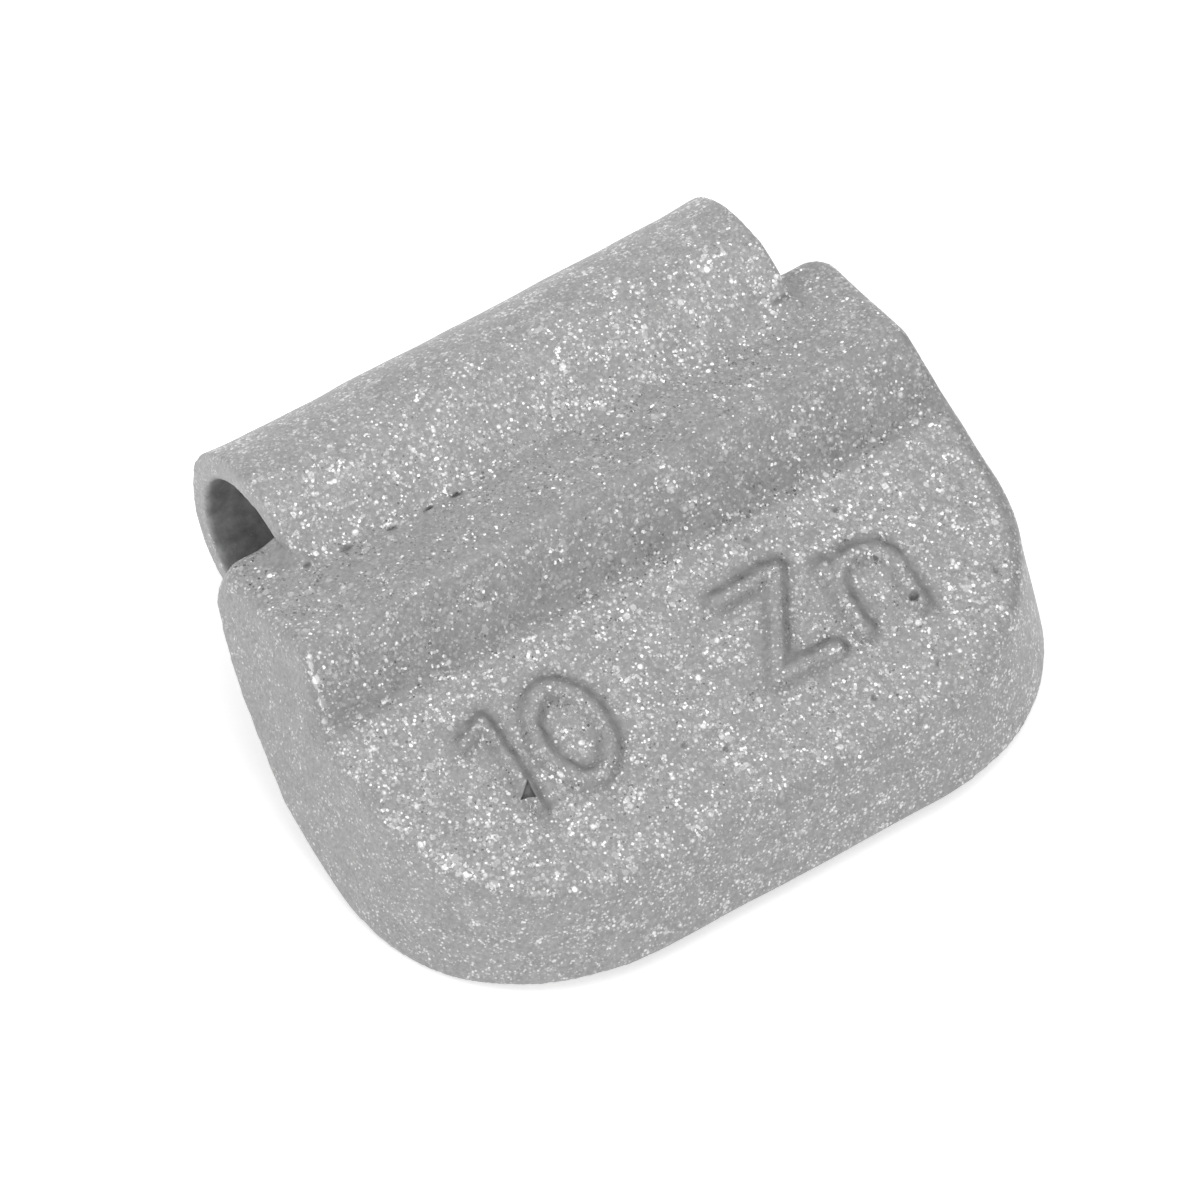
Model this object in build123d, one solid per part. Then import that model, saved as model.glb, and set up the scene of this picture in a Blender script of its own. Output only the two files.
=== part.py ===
from build123d import *
import math
import os

# Wheel balance weight of the hammer-on kind, in millimetres.
# A zinc body is cast round the tang of a spring steel clip, whose hook grips the edge of the rim.
# It is drawn in a face frame: x runs along the rim, y points to the hook, z out of the front pad.
# The pad is the plane z = 0, and the crease along its upper edge is the line y = 0.
# At the end it is laid on its back, the way it rests on a table.

# Front pad, with the straight run of its sides from the crease down to the rounded corners
PAD_LENGTH = 21.9
PAD_HEIGHT = 7.9
PAD_SIDE = 1.85
PAD_EDGE_RADIUS = 0.65

# Brow above the crease: a band up to a knee, a little rounder than the edges, then a slope to the ridge
CREASE_DEPTH = 0.2
KNEE_Y = 2.45
KNEE_Z = 1.05
KNEE_OVER_EDGE = 0.03
RIDGE_Y = 6.38
RIDGE_Z = -1.2
RIDGE_THICKNESS = 0.9
EAR_CORNER_RADIUS = 0.85
BROW_EDGE_RADIUS = 0.33

# Drafts of the cast walls and lean of the ends above the crease, in degrees
END_DRAFT = 9.0
LOWER_DRAFT = 33.5
CORNER_DRAFT = 16.0
END_LEAN = 4.7

# Back, rounded to lie in the hollow of the rim flange
BACK_DEPTH = 4.75
BACK_APEX_Y = -2.1
BACK_EDGE_RADIUS = 0.2

# Clip: its sheet, its hook with end angles in degrees from the front, and its leg
CLIP_WIDTH = 17.5
SHEET = 0.85
HOOK_INNER_RADIUS = 2.5
HOOK_Y = 6.75
HOOK_Z = -3.5
HOOK_FRONT_ANGLE = -11.0
HOOK_BACK_ANGLE = 168.0
LEG_LENGTH = 2.1
LEG_CORNER_RADIUS = 1.0

# Tang that the zinc is cast round, with its anchor windows
TANG_LENGTH = 6.3
TANG_CORNER_RADIUS = 1.2
WINDOW_COUNT = 3
WINDOW_LENGTH = 3.2
WINDOW_HEIGHT = 1.8
WINDOW_PITCH = 5.0
WINDOW_FROM_END = 2.2

# Room that blanks leave round the finished body, and the gap that counts as touching
BLANK_MARGIN = 2.0
TOUCH = 0.001

# Least z of the normal of a face that looks out of the front, or of the back with its sign turned
FACING = 0.75

PAD_CORNER_RADIUS = PAD_HEIGHT - PAD_SIDE
KNEE_RADIUS = BROW_EDGE_RADIUS + KNEE_OVER_EDGE
HOOK_MID_RADIUS = HOOK_INNER_RADIUS + SHEET / 2
HOOK_OUTER_RADIUS = HOOK_INNER_RADIUS + SHEET

# Circle of the back: its lowest point is the apex, and it passes behind the ridge
BACK_REACH = RIDGE_Y - BACK_APEX_Y
BACK_RISE = BACK_DEPTH + RIDGE_Z - RIDGE_THICKNESS
BACK_RADIUS = (BACK_REACH**2 + BACK_RISE**2) / (2 * BACK_RISE)
BACK_CENTRE_Z = BACK_RADIUS - BACK_DEPTH


def run_per_rise(degrees):
    """Sideways run of a wall for each millimetre of depth, at a draft angle."""
    return math.tan(math.radians(degrees))


def hook_point(radius, angle):
    """Point of the hook's section; the angle runs from the front over the top."""
    turn = math.radians(angle)
    return HOOK_Y + radius * math.sin(turn), HOOK_Z + radius * math.cos(turn)


def along_hook(angle):
    """Direction of the sheet, towards the leg, at an angle of the hook."""
    turn = math.radians(angle)
    return math.cos(turn), -math.sin(turn)


def moved(point, direction, distance):
    """Point of the section moved along a direction."""
    return point[0] + direction[0] * distance, point[1] + direction[1] * distance


def tang_point(distance):
    """Point in the middle of the sheet, so far down the tang from the hook."""
    front = hook_point(HOOK_MID_RADIUS, HOOK_FRONT_ANGLE)
    return moved(front, along_hook(HOOK_FRONT_ANGLE), -distance)


def leg_tip(radius):
    """End of the leg, on the face of the sheet that has this radius in the hook."""
    return moved(hook_point(radius, HOOK_BACK_ANGLE), along_hook(HOOK_BACK_ANGLE), LEG_LENGTH)


def wall_outline(z):
    """Outline of the drafted walls at height z."""
    half = PAD_LENGTH / 2 - z * run_per_rise(END_DRAFT)
    half_top = half - RIDGE_Y * run_per_rise(END_LEAN)
    bottom = -PAD_HEIGHT + z * run_per_rise(LOWER_DRAFT)
    right = [(half, bottom), (half, 0), (half_top, RIDGE_Y)]
    left = [(-x, y) for x, y in reversed(right)]
    outline = make_face(Polyline(*right, *left, close=True))
    lower_radius = PAD_CORNER_RADIUS - z * run_per_rise(CORNER_DRAFT)
    outline = fillet(outline.vertices().sort_by(Axis.Y)[:2], lower_radius)
    outline = fillet(outline.vertices().sort_by(Axis.Y)[-2:], EAR_CORNER_RADIUS)
    return Pos(0, 0, z) * outline


def pad_section():
    """Section in front of the back below the crease, open past the lower wall."""
    low = -PAD_HEIGHT - BACK_DEPTH
    floor = -BACK_DEPTH - BLANK_MARGIN
    return make_face(Polyline((0, floor), (0, 0), (low, 0), (low, floor), close=True))


def brow_section():
    """Section in front of the back above the crease, open past the ridge."""
    high = RIDGE_Y + BLANK_MARGIN
    floor = -BACK_DEPTH - BLANK_MARGIN
    slope = (RIDGE_Z - KNEE_Z) / (RIDGE_Y - KNEE_Y)
    slope_end = (high, RIDGE_Z + slope * BLANK_MARGIN)
    band = ((0, floor), (0, -CREASE_DEPTH), (KNEE_Y, KNEE_Z))
    section = make_face(Polyline(*band, slope_end, (high, floor), close=True))
    return fillet(section.vertices().sort_by(Axis.Y)[-1], KNEE_RADIUS)


def bar(section):
    """Bar along x, longer than the body, with the given front and the rounded back."""
    section &= Pos(BACK_APEX_Y, BACK_CENTRE_Z) * Circle(BACK_RADIUS)
    return extrude(Plane.YZ * section, amount=PAD_LENGTH, both=True)


def faces_towards(block, sign):
    """Faces that look out of the front (sign 1) or of the back (sign -1)."""
    return block.faces().filter_by(lambda face: face.normal_at().Z * sign > FACING)


def outer_edges(faces):
    """Edges round a group of faces, apart from those in the cut at the crease."""
    edges = [edge for face in faces for edge in face.edges()]
    return [
        edge
        for edge in edges
        if sum(edge.is_same(other) for other in edges) == 1 and abs((edge @ 0.5).Y) > TOUCH
    ]


def cast_blank():
    """Cast body before the clip takes its place in it."""
    deepest = wall_outline(-BACK_DEPTH - BLANK_MARGIN)
    highest = wall_outline(KNEE_Z + BLANK_MARGIN)
    walls = loft([deepest, highest], ruled=True)
    pad = walls & bar(pad_section())
    pad = fillet(outer_edges(faces_towards(pad, 1)), PAD_EDGE_RADIUS)
    brow = walls & bar(brow_section())
    brow = fillet(outer_edges(faces_towards(brow, 1)), BROW_EDGE_RADIUS)
    blank = pad + brow
    return fillet(outer_edges(faces_towards(blank, -1)), BACK_EDGE_RADIUS)


def clip_section():
    """Section of the bent sheet, from the end of the tang to the tip of the leg."""
    front = tang_point(0)
    top = hook_point(HOOK_MID_RADIUS, (HOOK_FRONT_ANGLE + HOOK_BACK_ANGLE) / 2)
    back = hook_point(HOOK_MID_RADIUS, HOOK_BACK_ANGLE)
    tang = Line(tang_point(TANG_LENGTH), front)
    arch = ThreePointArc(front, top, back)
    leg = Line(back, leg_tip(HOOK_MID_RADIUS))
    return trace([tang, arch, leg], SHEET)


def anchor_windows():
    """Slots through the tang, which the zinc fills."""
    place = tang_point(TANG_LENGTH - WINDOW_FROM_END)
    lie = along_hook(HOOK_FRONT_ANGLE)
    face = Plane(origin=(0, *place), x_dir=(1, 0, 0), z_dir=(0, -lie[1], lie[0]))
    slot = SlotOverall(WINDOW_LENGTH, WINDOW_HEIGHT)
    row = Sketch() + [spot * slot for spot in GridLocations(WINDOW_PITCH, 0, WINDOW_COUNT, 1)]
    return extrude(face * row, amount=SHEET, both=True)


def bent_clip():
    """Spring steel clip: tang with anchor windows, hook and leg."""
    clip = extrude(Plane.YZ * clip_section(), amount=CLIP_WIDTH / 2, both=True)
    for end, radius in ((0, LEG_CORNER_RADIUS), (-1, TANG_CORNER_RADIUS)):
        corners = clip.edges().filter_by(lambda edge: abs(edge.length - SHEET) < TOUCH)
        clip = fillet(corners.group_by(Axis.Z)[end], radius)
    return clip - anchor_windows()


def rest_tilt():
    """Turn about x that sets the leg's tip and the rounded back on one level."""
    tip_y, tip_z = leg_tip(HOOK_OUTER_RADIUS)
    run = tip_y - BACK_APEX_Y
    drop = BACK_CENTRE_Z - tip_z
    return math.degrees(math.acos(BACK_RADIUS / math.hypot(run, drop)) - math.atan2(run, drop))


def laid_down(*solids):
    """Pieces laid on their back, with the origin below the middle of their common box."""
    turned = [Rot(rest_tilt(), 0, 0) * solid for solid in solids]
    box = Compound(turned).bounding_box()
    shift = Pos(-box.center().X, -box.center().Y, -box.min.Z)
    return [shift * solid for solid in turned]


clip = bent_clip()
blank = cast_blank()
weight_body, rim_clip = laid_down(blank - clip, clip)

os.makedirs("parts", exist_ok=True)
export_step(weight_body, "parts/weight_body.step")
export_step(rim_clip, "parts/rim_clip.step")
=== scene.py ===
import math

import bmesh
import bpy
import numpy as np
from mathutils import Matrix, Vector


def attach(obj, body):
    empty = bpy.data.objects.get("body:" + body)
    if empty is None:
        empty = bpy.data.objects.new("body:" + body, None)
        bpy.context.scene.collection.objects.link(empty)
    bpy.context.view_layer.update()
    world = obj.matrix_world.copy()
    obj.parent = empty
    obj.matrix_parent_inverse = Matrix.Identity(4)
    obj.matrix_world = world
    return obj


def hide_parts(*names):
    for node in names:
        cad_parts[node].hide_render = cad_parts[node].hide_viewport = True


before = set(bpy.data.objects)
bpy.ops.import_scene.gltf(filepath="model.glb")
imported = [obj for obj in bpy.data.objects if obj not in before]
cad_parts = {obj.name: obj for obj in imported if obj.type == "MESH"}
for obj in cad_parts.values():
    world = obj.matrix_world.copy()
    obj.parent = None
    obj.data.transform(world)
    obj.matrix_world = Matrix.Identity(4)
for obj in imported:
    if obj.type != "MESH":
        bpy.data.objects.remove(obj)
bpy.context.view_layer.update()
scene = bpy.context.scene

MM = 0.001

# Lengths are millimetres in the pad's frame: x along the rim, y up from the crease, z out of the pad.
# The floor and the lamps are in metres in the row's frame.

# Digits to which normals count as the same when the pad is looked for
NORMAL_DIGITS = 2

# Even meshes of the coated pieces, and rounds of smoothing, each a step in and a step out
BODY_VOXEL = 0.135
CLIP_VOXEL = 0.12
SMOOTH_ROUNDS = 7
SMOOTH_IN = 0.5
SMOOTH_OUT = -0.52

# Corner where the sheet of the clip comes out of the body, and the coat that fills it and its ends
CLIP_END = 8.75
CORNER_YZ = (5.02, -0.42)
BELOW_CORNER_YZ = (4.72, -0.25)
ABOVE_CORNER_YZ = (5.9, -0.4)
EAR_TOP_YZ = (6.4, -1.21)
END_FILL = 0.3

# Flare of the sheet at the ends of the hook: where it starts along x, its height, and its rise up the hook
HOOK_MIDDLE_YZ = (6.75, -3.5)
FLARE_START = 7.2
FLARE_HEIGHT = 0.09
FLARE_RISE_Y = (5.8, 7.4)
FLARE_RISE_Z = (-4.5, -2.5)

# Uneven surface: height, shortest and longest waves, how many, and the seeds of the two pieces
WAVE_HEIGHT = 0.012
WAVE_LENGTHS = (1.5, 6.0)
WAVE_COUNT = 24
BODY_SEED = 1
CLIP_SEED = 2

# Raised figures: half widths of the strokes, width of their flanks, and height
THIN_STROKE = 0.24
WIDE_STROKE = 0.3
STROKE_FLANK = 0.34
STROKE_HEIGHT = 0.24
ARC_STEPS = 40

# Painted shade on their flanks, on the near and the far side, the far side darker as it faces away from the
# light;
# the distances from the edge between which it fades, the share of it by which flakes are smaller, and the
# way and cosines of the far side
FLANK_PAINTED_SHADES = (0.14, 0.4)
FLANK_SPAN = (0.08, 0.45)
FLANK_THIN = 0.5
FAR_DIRECTION = (0.71, 0.71)
FAR_COSINES = (-0.5, 0.8)

# Finer mesh: how far it reaches round a stroke, how many half sizes round a pit, and cuts of each edge
REFINED_REACH = 0.3
REFINED_PIT = 1.6
REFINING_CUTS = 2

# Height above which points belong to the front
FRONT_Z = -1.0

# Pits in the coat: x, y, half their length along x, half their height along y, and depth
PITS = [(-8.57, 4.95, 0.2, 0.08, 0.07), (-7.25, 4.88, 0.3, 0.08, 0.06),
        (-5.77, 4.79, 0.2, 0.07, 0.06), (-4.42, 4.81, 0.2, 0.08, 0.05),
        (-3.51, 4.78, 0.26, 0.07, 0.06), (0.1, 4.85, 0.6, 0.12, 0.02),
        (6.53, -4.5, 0.22, 0.19, 0.07), (8.4, 5.45, 0.5, 0.15, 0.03),
        (6.05, -1.07, 0.16, 0.12, 0.035), (3.2, -0.58, 0.14, 0.1, 0.035),
        (9.18, -4.95, 0.12, 0.16, 0.035), (6.1, -6.61, 0.14, 0.12, 0.035),
        (-1.9, -5.16, 0.16, 0.12, 0.035), (-0.89, -5.85, 0.14, 0.12, 0.035),
        (3.82, -6.59, 0.12, 0.14, 0.035)]

# Chip out of the coat of a figure: its corners, soft edge and depth
CHIP = [(-6.57, -3.83), (-7.12, -4.32), (-6.67, -4.52)]
CHIP_EDGE = 0.06
CHIP_DEPTH = 0.11

# Shares of the half sizes between which an oval spot fades, the depth at which a pit has its full shade,
# that shade, which is painted shade, darker the deeper the pit, and how much smaller flakes are there
SPOT_FADE = (0.4, 1.0)
FULL_PIT = 0.13
PIT_PAINTED_SHADE = 1.8
PIT_THIN = 0.9

# Notches beside the ends of the sheet, with painted shade for the shade in these recesses, and smaller
# flakes there:
# x, y, half their length and height
NOTCHES = [(-8.95, 5.65, 0.4, 0.8), (8.95, 5.65, 0.4, 0.8)]
NOTCH_PAINTED_SHADE = 0.08
NOTCH_THIN = 0.7

# Painted shade of the band above the crease, for the shade that falls there, and how far it reaches down
# and up from there
CREASE_Y = 0.05
CREASE_REACHES = (0.2, 2.5)
CREASE_PAINTED_SHADE = 0.25

# Edges facing the lower left, given a painted glint by larger flakes, and edges facing the right, given
# painted
# shade: the way they face, the cosines where this starts and is full, and larger flakes or shade
PAINTED_GLINT_WAY = (-0.45, -0.32, 0.83)
PAINTED_GLINT_COSINES = (0.94, 0.985)
PAINTED_GLINT_GROWTH = 0.7
RIGHT_EDGE_WAY = (0.55, -0.1, 0.83)
RIGHT_EDGE_COSINES = (0.9, 0.97)
RIGHT_EDGE_PAINTED_SHADE = 0.26

# Knee, which the coat runs off: its y and z, its reach, and how much smaller its flakes are
KNEE_YZ = (2.45, 0.9)
KNEE_REACH = 0.45
KNEE_THIN = 0.45

# Flakes on the front of the brow, which are larger: y and facing where this starts and is full
BROW_GROWTH = 0.12
BROW_Y = (0.0, 0.2)
BROW_COSINES = (0.5, 0.8)

# Inside of the hook and its leg, which is darker and has smaller flakes: the way along the leg in y and z,
# the radii where this starts and is full, its shade, and how much smaller flakes are there
LEG_WAY = (-0.978, -0.208)
HOOK_INSIDE_RADII = (2.66, 2.56)
HOOK_INSIDE_SHADE = 0.42
HOOK_INSIDE_THIN = 0.7

# Flakes of two sizes: spacing, least and largest radius (none below 0), greys, and how far they lean,
# each by a random colour less the middle one
LARGE_SPACING = 0.22
LARGE_RADII = (-0.02, 0.105)
LARGE_GREYS = (0.45, 0.8)
LARGE_TILT = 0.95
SMALL_SPACING = 0.085
SMALL_RADII = (0.015, 0.07)
SMALL_GREYS = (0.38, 0.72)
SMALL_TILT = 1.05
FLAKE_EDGE = 3.0
FLAKE_METAL = 0.9
FLAKE_ROUGHNESS = 0.3
MIDDLE_COLOUR = (0.5, 0.5, 0.5)

# Clumps in which flakes are larger, sizes where the coat faces aside and out of the pad, and greys there,
# the sides painted lighter where more light falls on them
CLUMP_SCALE = 2.0
CLUMP_SPAN = (0.35, 0.65)
CLUMP_SIZES = (0.65, 1.35)
SPRAYED_SIZES = (0.57, 1.02)
SIDE_PAINTED_LIGHT = (1.14, 1.0)

# Coat between the flakes: its grain, clouds, dark specks and the mottle of its shade
BASE_GREYS = (0.2, 0.48)
BASE_ROUGHNESS = 0.5
GRAIN_SCALE = 8.0
GRAIN_STRENGTH = 0.35
GRAIN_HEIGHT = 0.02
NOISE_DETAIL = 2.0
CLOUD_SCALE = 1.2
CLOUD_DETAIL = 3.0
CLOUD_SHARES = (0.82, 1.18)
SPECK_SPACING = 1.1
SPECK_RADII = (-0.05, 0.05)
SPECK_SHADE = 0.6
MOTTLE = (0.5, 1.5)
SHADED_SHARE = 0.2
WARP_SCALE = 10.0
WARP = 0.06
# The clip's coat is painted lighter than the body's, standing in for the brighter light on the hook
CLIP_PAINTED_LIGHT = 1.08

# Camera: view direction in the pad's frame, roll, distance and scale, from the photograph
VIEW_DIRECTION = (-0.34, -0.24, 0.909)
VIEW_ROLL = math.radians(27.9)
VIEW_DISTANCE = 526.5
IMAGE_PIXELS = 1200
PIXELS_PER_MM = 34.38
CREASE_MIDDLE_PIXEL = (645.0, 571.2)

# Floor: radius, corners, grey, and the glow that takes it up to white
FLOOR_RADIUS = 0.6
FLOOR_CORNERS = 64
FLOOR_GREY = 0.92
FLOOR_GLOW = 0.45

# Studio light: strength of the white surround, and the lamps with their places, sizes and watts
WHITE = (1, 1, 1, 1)
SURROUND_STRENGTH = 0.6
LAMPS = [("overhead", (0.12, 0.03, 0.7), 0.7, 1.8),
         ("left", (-0.7, -0.1, 0.36), 0.45, 0.8),
         ("front_left", (-0.47, -0.48, 0.52), 0.14, 0.45)]


def values(items, name, width):
    """One property of all items of a mesh, as rows."""
    flat = np.empty(len(items) * width, np.float32)
    items.foreach_get(name, flat)
    return flat.reshape(-1, width).astype(float)


def smoothstep(low, high, x):
    """0 below low, 1 above high, and a smooth rise between them."""
    t = np.clip((x - low) / (high - low), 0, 1)
    return t * t * (3 - 2 * t)


def pad_frame(node):
    """Matrix from the pad's frame, in millimetres, to the row's, in metres."""
    mesh = node.data
    normals = values(mesh.polygons, "normal", 3)
    areas = values(mesh.polygons, "area", 1)[:, 0]
    _, group = np.unique(np.round(normals, NORMAL_DIGITS), axis=0, return_inverse=True)
    group = group.ravel()
    pad = group == np.bincount(group, areas).argmax()
    centres = values(mesh.polygons, "center", 3)[pad]
    corners = np.array([mesh.vertices[i].co for p in np.flatnonzero(pad)
                        for i in mesh.polygons[p].vertices])
    out = Vector(np.average(normals[pad], axis=0, weights=areas[pad])).normalized()
    along = Vector((1, 0, 0))
    up = out.cross(along).normalized()
    crease = up * float((corners @ np.array(up)).max())
    origin = crease + out * float((centres @ np.array(out)).mean())
    turn = Matrix((along, up, out)).transposed().to_4x4()
    return Matrix.Translation(origin) @ turn @ Matrix.Scale(MM, 4)


PAD = pad_frame(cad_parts["weight_body"])


def pad_direction(way):
    """Direction of the pad's frame in the row's."""
    return (PAD.to_3x3() @ Vector(way)).normalized()


def smoothed(points, edges):
    """Points after rounds of smoothing that keep the volume."""
    a, b = edges.T
    degree = np.bincount(edges.ravel(), minlength=len(points))
    for share in (SMOOTH_IN, SMOOTH_OUT) * SMOOTH_ROUNDS:
        for axis in range(3):
            column = points[:, axis]
            total = np.bincount(a, column[b], len(points)) + np.bincount(b, column[a], len(points))
            points[:, axis] = column + share * (total / degree - column)
    return points


def add_fill(bm, start, stop):
    """Add a closed bar between two outlines of as many corners."""
    first = [bm.verts.new(point) for point in start]
    last = [bm.verts.new(point) for point in stop]
    sides = [bm.faces.new((first[i - 1], first[i], last[i], last[i - 1])) for i in range(len(first))]
    caps = [bm.faces.new(first), bm.faces.new(last)]
    bmesh.ops.recalc_face_normals(bm, faces=sides + caps)


def corner_fills():
    """Coat in the corners along the front of the sheet and along its two ends."""
    corner, below, above = (np.array(yz) for yz in (CORNER_YZ, BELOW_CORNER_YZ, ABOVE_CORNER_YZ))
    hollow = (below + 2 * corner + above) / 4
    outline = [below, hollow, above, corner - (0, END_FILL)]
    front = [[(x, *yz) for yz in outline] for x in (-CLIP_END, CLIP_END)]
    fills = [front]
    ring = [(-END_FILL, -END_FILL), (END_FILL, -END_FILL / 2), (END_FILL, 0),
            (0, END_FILL), (-END_FILL, END_FILL)]
    for side in (-1, 1):
        end = [[(side * (CLIP_END + dx), y, z + dz) for dx, dz in ring]
               for y, z in (CORNER_YZ, EAR_TOP_YZ)]
        fills.append(end)
    return fills


def coated(node, voxel, fills=()):
    """Even mesh of a node and its fills in the pad's frame, softened as by a coat of paint."""
    bm = bmesh.new()
    bm.from_mesh(node.data)
    bm.transform(PAD.inverted())
    for start, stop in fills:
        add_fill(bm, start, stop)
    mesh = bpy.data.meshes.new("source")
    bm.to_mesh(mesh)
    bm.free()
    source = bpy.data.objects.new("source", mesh)
    scene.collection.objects.link(source)
    remesh = source.modifiers.new("even", "REMESH")
    remesh.mode = "VOXEL"
    remesh.voxel_size = voxel
    depsgraph = bpy.context.evaluated_depsgraph_get()
    even = bpy.data.meshes.new_from_object(source.evaluated_get(depsgraph))
    bpy.data.objects.remove(source)
    points = values(even.vertices, "co", 3)
    edges = np.array([edge.vertices[:] for edge in even.edges])
    even.vertices.foreach_set("co", smoothed(points, edges).ravel())
    return even


def uneven(mesh, seed):
    """Move the points of a mesh a little along their normals, by waves at random."""
    random = np.random.default_rng(seed)
    points = values(mesh.vertices, "co", 3)
    height = np.zeros(len(points))
    for _ in range(WAVE_COUNT):
        direction = random.normal(size=3)
        wave = 2 * np.pi / random.uniform(*WAVE_LENGTHS) * direction / np.linalg.norm(direction)
        height += np.sin(points @ wave + random.uniform(0, 2 * np.pi))
    normals = values(mesh.vertex_normals, "vector", 3)
    points += normals * (height * WAVE_HEIGHT / math.sqrt(WAVE_COUNT / 2))[:, None]
    mesh.vertices.foreach_set("co", points.ravel())


def flare_ends(mesh):
    """Spread the ends of the hook a little, as a bent sheet does."""
    points = values(mesh.vertices, "co", 3)
    spread = smoothstep(FLARE_START, CLIP_END, np.abs(points[:, 0]))
    rise = smoothstep(*FLARE_RISE_Y, points[:, 1]) * smoothstep(*FLARE_RISE_Z, points[:, 2])
    share = FLARE_HEIGHT * spread * rise
    outward = points[:, 1:] - HOOK_MIDDLE_YZ
    outward /= np.linalg.norm(outward, axis=1)[:, None]
    points[:, 1:] += outward * share[:, None]
    mesh.vertices.foreach_set("co", points.ravel())


def refine(mesh, wanted):
    """Make a mesh finer round the points that are wanted."""
    bm = bmesh.new()
    bm.from_mesh(mesh)
    near = wanted(np.array([vertex.co for vertex in bm.verts]))
    edges = [edge for edge in bm.edges if near[edge.verts[0].index] and near[edge.verts[1].index]]
    bmesh.ops.subdivide_edges(bm, edges=edges, cuts=REFINING_CUTS, use_grid_fill=True)
    bm.to_mesh(mesh)
    bm.free()


def oval(centre, radii, start, stop):
    """Points of a stretch of an ellipse, between two angles in degrees."""
    turns = np.radians(np.linspace(start, stop, ARC_STEPS))
    return [(centre[0] + radii[0] * math.cos(t), centre[1] + radii[1] * math.sin(t)) for t in turns]


def figure_strokes():
    """Middle lines of the figures and letters on the pad, with half their widths."""
    one = [(-7.65, -2.05), (-6.78, -1.72), (-6.78, -4.75)]
    zero = oval((-4.7, -3.26), (1.0, 1.5), 0, 360)
    zed = [(1.3, -1.86), (3.38, -1.78), (1.6, -4.72), (3.6, -4.76)]
    stem = [(4.68, -2.45), (4.68, -4.7)]
    arch = oval((5.68, -3.4), (0.97, 0.9), 180, 0) + [(6.65, -4.7)]
    return [(one, THIN_STROKE)] + [(line, WIDE_STROKE) for line in (zero, zed, stem, arch)]


def nearest_stroke(points):
    """Distance of points from the nearest stroke, less than 0 inside it, and their way from its middle."""
    nearest = np.full(len(points), np.inf)
    way = np.zeros((len(points), 2))
    for line, half_width in figure_strokes():
        for start, stop in zip(line, line[1:]):
            start, step = np.array(start), np.subtract(stop, start)
            share = np.clip((points - start) @ step / (step @ step), 0, 1)
            offset = points - start - share[:, None] * step
            distance = np.linalg.norm(offset, axis=1)
            closer = distance - half_width < nearest
            nearest[closer] = distance[closer] - half_width
            way[closer] = offset[closer] / np.maximum(distance[closer], half_width / 2)[:, None]
    return nearest, way


def on_pad(points):
    """Which points lie on the pad or not far below it."""
    return (points[:, 2] > -STROKE_HEIGHT) & (points[:, 1] < 0)


def raise_figures(mesh):
    """Raise the figures out of the pad, on a mesh that is made finer round them."""
    refine(mesh, lambda points: on_pad(points) & (nearest_stroke(points[:, :2])[0] < REFINED_REACH))
    points = values(mesh.vertices, "co", 3)
    pad = on_pad(points)
    distance, _ = nearest_stroke(points[pad, :2])
    points[pad, 2] += STROKE_HEIGHT * (1 - smoothstep(-STROKE_FLANK / 2, STROKE_FLANK / 2, distance))
    mesh.vertices.foreach_set("co", points.ravel())


def spot_share(points, x, y, half_length, half_height):
    """How far points of the front lie inside an oval spot: 1 in its middle, 0 outside."""
    off = np.hypot((points[:, 0] - x) / half_length, (points[:, 1] - y) / half_height)
    return (1 - smoothstep(*SPOT_FADE, off)) * (points[:, 2] > FRONT_Z)


def chip_share(points):
    """How far points lie inside the chip."""
    inside = np.full(len(points), np.inf)
    for start, stop in zip(CHIP, CHIP[1:] + CHIP[:1]):
        along = np.subtract(stop, start) / math.dist(start, stop)
        inside = np.minimum(inside, (points[:, :2] - start) @ (-along[1], along[0]))
    return smoothstep(0, CHIP_EDGE, inside) * (points[:, 2] > FRONT_Z)


def pit_depth(points):
    """Depth of the pits and the chip at points."""
    pits = [depth * spot_share(points, *spot) for *spot, depth in PITS]
    return np.max(pits + [CHIP_DEPTH * chip_share(points)], axis=0)


def press_pits(mesh):
    """Press the pits into the front of a piece; returns at each point how far it lies in a full pit."""
    chip_radius = math.dist(*CHIP[:2]) / 2
    chip_spot = (*np.mean(CHIP, axis=0), chip_radius, chip_radius)
    spots = [pit[:4] for pit in PITS] + [chip_spot]

    def wanted(points):
        return np.any([spot_share(points, x, y, REFINED_PIT * half_length, REFINED_PIT * half_height) > 0
                       for x, y, half_length, half_height in spots], axis=0)

    refine(mesh, wanted)
    points = values(mesh.vertices, "co", 3)
    depth = pit_depth(points)
    points[:, 2] -= depth
    mesh.vertices.foreach_set("co", points.ravel())
    return np.minimum(depth / FULL_PIT, 1)


def painted_flank_shade(points):
    """Painted shade on the flanks of the figures, darker on the far side, which faces away from the light.
    """
    distance, way = nearest_stroke(points[:, :2])
    shade = FLANK_PAINTED_SHADES[0] + np.ptp(FLANK_PAINTED_SHADES) * smoothstep(*FAR_COSINES, way @ FAR_DIRECTION)
    return shade * on_pad(points) * (1 - smoothstep(*FLANK_SPAN, np.abs(distance)))


def crease_shade_share(points):
    """How far points lie in the painted shade of the crease and the band above it."""
    above = points[:, 1] - CREASE_Y
    off = np.where(above < 0, -above / CREASE_REACHES[0], above / CREASE_REACHES[1])
    return (points[:, 2] > FRONT_Z) * (1 - smoothstep(0, 1, off))


def notch_share(points):
    """How far points lie in the notches beside the ends of the sheet."""
    return np.max([spot_share(points, *notch) for notch in NOTCHES], axis=0)


def knee_share(points):
    """How far points lie on the knee of the brow."""
    return 1 - smoothstep(0, KNEE_REACH, np.hypot(*(points[:, 1:] - KNEE_YZ).T))


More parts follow.
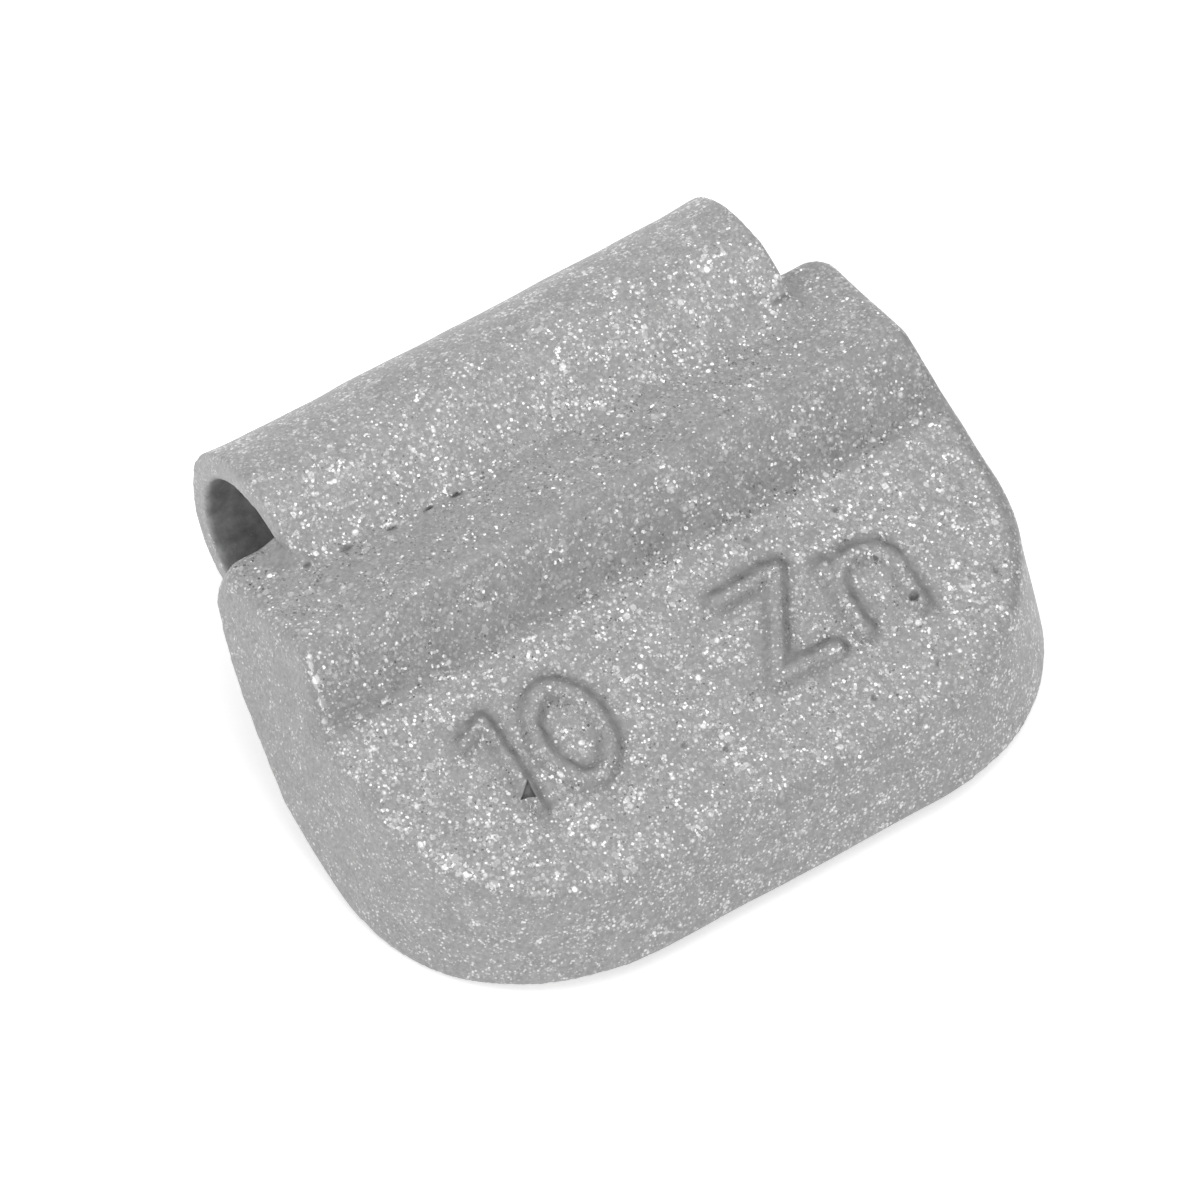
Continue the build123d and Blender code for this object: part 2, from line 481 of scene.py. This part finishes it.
def hook_inside_share(points):
    """How far points lie inside the hook or on the inner side of its leg."""
    offset = points[:, 1:] - HOOK_MIDDLE_YZ
    below = offset @ (-LEG_WAY[1], LEG_WAY[0])
    on_leg = (offset @ LEG_WAY > 0) & (below > 0)
    radius = np.where(on_leg, below, np.linalg.norm(offset, axis=1))
    return 1 - smoothstep(*HOOK_INSIDE_RADII[::-1], radius)


def facing_share(mesh, way, cosines):
    """How far points of a mesh face a way."""
    return smoothstep(*cosines, values(mesh.vertex_normals, "vector", 3) @ Vector(way).normalized())


def keep(mesh, name, numbers):
    """Keep a number at each point of a mesh, for the material."""
    mesh.attributes.new(name, "FLOAT", "POINT").data.foreach_set("value", numbers.astype(np.float32))


def shown(name, mesh, node, material):
    """Add the piece of the visual model that stands for a node."""
    mesh.transform(PAD)
    mesh.name = name
    mesh.materials.clear()
    mesh.materials.append(material)
    mesh.polygons.foreach_set("use_smooth", np.ones(len(mesh.polygons), bool))
    mesh.update()
    piece = bpy.data.objects.new(name, mesh)
    scene.collection.objects.link(piece)
    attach(piece, "root")
    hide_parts(node)


def linked(tree, socket, value):
    """Link an output to a socket, or set the socket to a value."""
    if isinstance(value, bpy.types.NodeSocket):
        tree.links.new(value, socket)
    else:
        socket.default_value = value


def joined(tree, kind, **sockets):
    """New node whose named sockets are set to values or linked to other nodes' outputs."""
    node = tree.nodes.new(kind)
    for name, value in sockets.items():
        linked(tree, node.inputs[name], value)
    return node


def sum_node(tree, kind, operation, *terms):
    """New node of an operation on values or outputs, in the order of its sockets."""
    node = tree.nodes.new(kind)
    node.operation = operation
    sockets = [socket for socket in node.inputs if socket.enabled]
    for socket, term in zip(sockets, terms):
        linked(tree, socket, term)
    return node


def number(tree, operation, *terms):
    """Output of a sum on numbers."""
    return sum_node(tree, "ShaderNodeMath", operation, *terms).outputs[0]


def product(tree, first, *others):
    """Output of numbers that are multiplied in their order."""
    for other in others:
        first = number(tree, "MULTIPLY", first, other)
    return first


def rest(tree, share):
    """Output of what a share leaves of 1."""
    return number(tree, "SUBTRACT", 1.0, share)


def vector(tree, operation, *terms):
    """Output of a sum on vectors."""
    return sum_node(tree, "ShaderNodeVectorMath", operation, *terms).outputs[0]


def blend(tree, share, low, high, span=(0.0, 1.0)):
    """Output between two numbers or outputs, for a share that runs over a span."""
    ends = {"From Min": span[0], "From Max": span[1], "To Min": low, "To Max": high}
    return joined(tree, "ShaderNodeMapRange", Value=share, **ends).outputs["Result"]


def noise(tree, place, scale, detail=NOISE_DETAIL):
    """New node of a smooth noise."""
    return joined(tree, "ShaderNodeTexNoise", Vector=place, Scale=scale, Detail=detail)


def kept(tree, name):
    """Output of a number that is kept at the points of a mesh."""
    node = tree.nodes.new("ShaderNodeAttribute")
    node.attribute_name = name
    return node.outputs["Fac"]


def flakes(tree, place, spacing, radii, growth=1.0):
    """Round flakes of random size: their mask, a random number and a random tilt for each."""
    cells = joined(tree, "ShaderNodeTexVoronoi", Vector=place, Scale=1 / spacing)
    pick = joined(tree, "ShaderNodeTexWhiteNoise", Vector=cells.outputs["Position"])
    radius = blend(tree, pick.outputs["Value"], *(radius / spacing for radius in radii))
    inside = number(tree, "SUBTRACT", product(tree, radius, growth), cells.outputs["Distance"])
    mask = blend(tree, product(tree, inside, FLAKE_EDGE), 0.0, 1.0)
    tilt = vector(tree, "SUBTRACT", cells.outputs["Color"], MIDDLE_COLOUR)
    chance = joined(tree, "ShaderNodeSeparateColor", Color=pick.outputs["Color"]).outputs[0]
    return mask, chance, tilt


def warped_place(tree, coordinates):
    """Output of the place on the part in millimetres, warped so that flakes aren't quite round."""
    place = vector(tree, "SCALE", coordinates.outputs["Object"], 1 / MM)
    warp = noise(tree, place, WARP_SCALE).outputs["Color"]
    return vector(tree, "ADD", place, vector(tree, "SCALE", warp, WARP))


def leaning(tree, normal, *layers):
    """Output of the normal, turned where flakes of some layers lean."""
    for mask, tilt, most in layers:
        normal = vector(tree, "ADD", normal, vector(tree, "SCALE", tilt, product(tree, mask, most)))
    return vector(tree, "NORMALIZE", normal)


def flake_coat(name, share=1.0):
    """Grey coat with metallic flakes that lie at slightly different angles."""
    material = bpy.data.materials.new(name)
    material.use_nodes = True
    tree = material.node_tree
    shader = tree.nodes["Principled BSDF"]
    coordinates = tree.nodes.new("ShaderNodeTexCoord")
    place = warped_place(tree, coordinates)
    clump = noise(tree, place, CLUMP_SCALE).outputs[0]
    cloud = noise(tree, place, CLOUD_SCALE, CLOUD_DETAIL).outputs[0]
    grain = noise(tree, place, GRAIN_SCALE).outputs[0]
    ways = (coordinates.outputs["Normal"], pad_direction((0, 0, 1)))
    facing = sum_node(tree, "ShaderNodeVectorMath", "DOT_PRODUCT", *ways).outputs["Value"]

    clumped = blend(tree, clump, *CLUMP_SIZES, CLUMP_SPAN)
    growth = product(tree, clumped, blend(tree, facing, *SPRAYED_SIZES), rest(tree, kept(tree, "thin")))
    large, large_chance, large_tilt = flakes(tree, place, LARGE_SPACING, LARGE_RADII, growth)
    small, small_chance, small_tilt = flakes(tree, place, SMALL_SPACING, SMALL_RADII, growth)
    small = product(tree, small, rest(tree, large))
    speck, _, _ = flakes(tree, place, SPECK_SPACING, SPECK_RADII)

    # Where the coat faces aside it is painted lighter, for the light that falls there
    grey = product(tree, blend(tree, grain, *BASE_GREYS), blend(tree, facing, *SIDE_PAINTED_LIGHT))
    grey = blend(tree, small, grey, blend(tree, small_chance, *SMALL_GREYS))
    grey = blend(tree, large, grey, blend(tree, large_chance, *LARGE_GREYS))
    # share paints a coat lighter, which stands in for the light on the hook of the clip
    clouded = blend(tree, cloud, *(share * end for end in CLOUD_SHARES))
    # The kept shade darkens the coat: painted shade on both pieces, and the darker inside of the hook;
    # clumps mottle it
    mottled = product(tree, kept(tree, "shade"), blend(tree, clump, *MOTTLE, CLUMP_SPAN))
    dark = number(tree, "MAXIMUM", mottled, product(tree, speck, SPECK_SHADE))
    grey = product(tree, grey, clouded, blend(tree, dark, 1.0, SHADED_SHARE))
    metal = product(tree, number(tree, "MAXIMUM", large, small), FLAKE_METAL)
    bump = joined(tree, "ShaderNodeBump", Height=grain, Strength=GRAIN_STRENGTH, Distance=GRAIN_HEIGHT * MM)
    layers = ((large, large_tilt, LARGE_TILT), (small, small_tilt, SMALL_TILT))

    linked(tree, shader.inputs["Base Color"], grey)
    linked(tree, shader.inputs["Metallic"], metal)
    linked(tree, shader.inputs["Roughness"], blend(tree, metal, BASE_ROUGHNESS, FLAKE_ROUGHNESS))
    linked(tree, shader.inputs["Normal"], leaning(tree, bump.outputs["Normal"], *layers))
    return material


def coat_body():
    """Body with its figures and pits; its points keep painted shade, and how much smaller its flakes are,
    larger for a painted glint.
    """
    body = coated(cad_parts["weight_body"], BODY_VOXEL, corner_fills())
    uneven(body, BODY_SEED)
    raise_figures(body)
    pits = press_pits(body)
    points = values(body.vertices, "co", 3)
    notches = notch_share(points)
    painted_flanks = painted_flank_shade(points)
    # Edges facing the right get painted shade; edges facing the lower left get larger flakes as a painted
    # glint
    right_edge_shade = facing_share(body, RIGHT_EDGE_WAY, RIGHT_EDGE_COSINES)
    painted_glint = facing_share(body, PAINTED_GLINT_WAY, PAINTED_GLINT_COSINES)
    brow = smoothstep(*BROW_Y, points[:, 1]) * facing_share(body, (0, 0, 1), BROW_COSINES)
    # Painted shade on the flanks, the crease, the notches, the edges facing the right, and the pits
    shades = [painted_flanks, CREASE_PAINTED_SHADE * crease_shade_share(points), NOTCH_PAINTED_SHADE * notches,
              RIGHT_EDGE_PAINTED_SHADE * right_edge_shade, PIT_PAINTED_SHADE * pits]
    thins = [PIT_THIN * pits, FLANK_THIN * painted_flanks, KNEE_THIN * knee_share(points), NOTCH_THIN * notches]
    keep(body, "shade", np.max(shades, axis=0))
    keep(body, "thin", np.max(thins, axis=0) - PAINTED_GLINT_GROWTH * painted_glint - BROW_GROWTH * brow)
    shown("coated_body", body, "weight_body", flake_coat("body_coat"))


def coat_clip():
    """Clip with its flared ends; its inside is darker and has smaller flakes."""
    clip = coated(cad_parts["rim_clip"], CLIP_VOXEL)
    flare_ends(clip)
    uneven(clip, CLIP_SEED)
    pits = press_pits(clip)
    hook_inside = hook_inside_share(values(clip.vertices, "co", 3))
    keep(clip, "shade", np.maximum(PIT_PAINTED_SHADE * pits, HOOK_INSIDE_SHADE * hook_inside))
    keep(clip, "thin", np.maximum(PIT_THIN * pits, HOOK_INSIDE_THIN * hook_inside))
    shown("coated_clip", clip, "rim_clip", flake_coat("clip_coat", CLIP_PAINTED_LIGHT))


def white_floor():
    """White floor that keeps the shadow of the part."""
    bm = bmesh.new()
    bmesh.ops.create_circle(bm, cap_ends=True, segments=FLOOR_CORNERS, radius=FLOOR_RADIUS)
    mesh = bpy.data.meshes.new("floor")
    bm.to_mesh(mesh)
    bm.free()
    floor = bpy.data.objects.new("floor", mesh)
    scene.collection.objects.link(floor)
    material = bpy.data.materials.new("floor")
    material.use_nodes = True
    tree = material.node_tree
    tree.nodes.clear()
    rays = tree.nodes.new("ShaderNodeLightPath").outputs
    seen = number(tree, "MAXIMUM", rays["Is Camera Ray"], rays["Is Glossy Ray"])
    seen = number(tree, "MAXIMUM", seen, rays["Is Transmission Ray"])
    glow = joined(tree, "ShaderNodeEmission", Strength=product(tree, seen, FLOOR_GLOW))
    diffuse = joined(tree, "ShaderNodeBsdfDiffuse", Color=(FLOOR_GREY, FLOOR_GREY, FLOOR_GREY, 1))
    both = tree.nodes.new("ShaderNodeAddShader")
    for socket, node in zip(both.inputs, (diffuse, glow)):
        linked(tree, socket, node.outputs[0])
    joined(tree, "ShaderNodeOutputMaterial", Surface=both.outputs[0])
    mesh.materials.append(material)


def lamp(name, place, size, energy):
    """Round lamp that shines on the part."""
    data = bpy.data.lights.new(name, "AREA")
    data.shape = "DISK"
    data.size = size
    data.energy = energy
    piece = bpy.data.objects.new(name, data)
    piece.location = place
    piece.rotation_euler = (-Vector(place)).to_track_quat("-Z", "Y").to_euler()
    scene.collection.objects.link(piece)


def lights():
    """Soft studio light: a white surround and three round lamps."""
    world = bpy.data.worlds.new("studio")
    scene.world = world
    world.use_nodes = True
    background = world.node_tree.nodes["Background"]
    background.inputs["Color"].default_value = WHITE
    background.inputs["Strength"].default_value = SURROUND_STRENGTH
    for name, place, size, energy in LAMPS:
        lamp(name, place, size, energy)


def set_camera():
    """Camera at the photograph's place."""
    vx, vy, vz = Vector(VIEW_DIRECTION).normalized()
    flat = math.hypot(vy, vz)
    right = Vector((flat, -vx * vy / flat, -vx * vz / flat))
    up = Vector((0, vz / flat, -vy / flat))
    cos, sin = math.cos(VIEW_ROLL), math.sin(VIEW_ROLL)
    right, up = pad_direction(right * cos - up * sin), pad_direction(right * sin + up * cos)
    back = pad_direction((vx, vy, vz))
    half = IMAGE_PIXELS / 2
    aside = (half - CREASE_MIDDLE_PIXEL[0]) / PIXELS_PER_MM * MM
    above = (CREASE_MIDDLE_PIXEL[1] - half) / PIXELS_PER_MM * MM
    place = PAD.translation + right * aside + up * above + back * VIEW_DISTANCE * MM
    data = bpy.data.cameras.new("camera")
    data.sensor_fit = "HORIZONTAL"
    data.lens = data.sensor_width * VIEW_DISTANCE * PIXELS_PER_MM / IMAGE_PIXELS
    camera = bpy.data.objects.new("camera", data)
    scene.collection.objects.link(camera)
    camera.matrix_world = Matrix.Translation(place) @ Matrix((right, up, back)).transposed().to_4x4()
    scene.camera = camera


coat_body()
coat_clip()
white_floor()
lights()
set_camera()
scene.view_settings.view_transform = "Standard"
